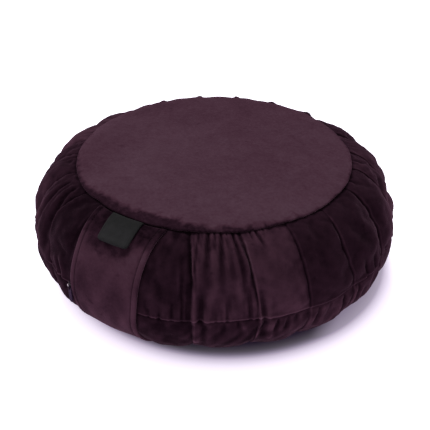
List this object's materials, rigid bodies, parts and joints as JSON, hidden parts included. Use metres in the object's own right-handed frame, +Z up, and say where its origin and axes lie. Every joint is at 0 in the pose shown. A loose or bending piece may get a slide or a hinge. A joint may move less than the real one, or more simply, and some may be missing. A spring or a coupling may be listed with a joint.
{
  "type": "meditation cushion",
  "caption": "Low round meditation cushion: velvet cover with pleated sides, flat round top and base panels, a side zip, a wide carry strap over one side and a bare woven label patch.",
  "frame": {"origin": "middle of the base, on the surface the cushion rests on", "axes": "+Z up through the round top panel; -Y towards the carry strap; +X to the right of the strap as seen from outside"},
  "size_m": [0.4186, 0.4229, 0.1465],
  "materials": {
    "velvet": "short-pile velvet, dark plum",
    "label_cloth": "flat woven, near black",
    "bare_metal": "satin",
    "painted_metal": "satin, dark plum"
  },
  "bodies": {
    "root": {"filled_cushion": "velvet", "top_panel": "velvet", "base_panel": "velvet", "carry_strap": "velvet", "label": "label_cloth", "zip_slider": "bare_metal", "zip_pull": "painted_metal"}
  },
  "joints": []
}
